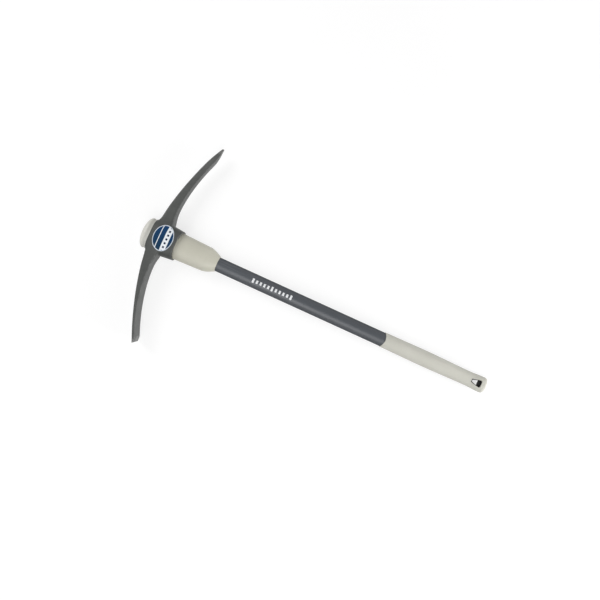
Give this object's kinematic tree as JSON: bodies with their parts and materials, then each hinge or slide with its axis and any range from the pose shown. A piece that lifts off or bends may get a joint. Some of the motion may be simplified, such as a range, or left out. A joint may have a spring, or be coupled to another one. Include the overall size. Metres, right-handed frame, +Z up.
{
  "type": "pick axe",
  "caption": "Pick axe with a forged head that has a pointed arm and a chisel arm, on a straight round handle with a domed eye sleeve, a tapered collar and a moulded grip with a hang hole.",
  "frame": {"origin": "middle of the flat on the lower cheek of the head, straight under the centre of the eye, where the tool lies on a surface", "axes": "+X down the handle from the head to the butt, +Y along the arms toward the point, +Z up, square to the plane of the arms and the handle"},
  "size_m": [0.9177, 0.518, 0.0643],
  "materials": {
    "head_paint": "satin dark grey paint over forged steel",
    "label_print": "printed film",
    "putty_plastic": "fine moulded texture",
    "glass_fibre": "pultruded",
    "bond_resin": "cured resin",
    "shaft_plastic": "semi-gloss extruded jacket",
    "grip_rubber": "soft matte moulding",
    "insert_plastic": "black moulding"
  },
  "bodies": {
    "handle": {"head_sleeve": "putty_plastic", "top_plug": "putty_plastic", "core_rod": "glass_fibre", "core_bond": "bond_resin", "shaft_jacket": "shaft_plastic", "end_grip": "grip_rubber", "butt_insert": "insert_plastic"},
    "head": {"pick_head": "head_paint", "eye_label": "label_print"}
  },
  "joints": [
    {"name": "head_slide", "type": "slide", "parent": "handle", "child": "head", "axis": [1, 0, 0], "range_m": [0, 0.9]}
  ]
}
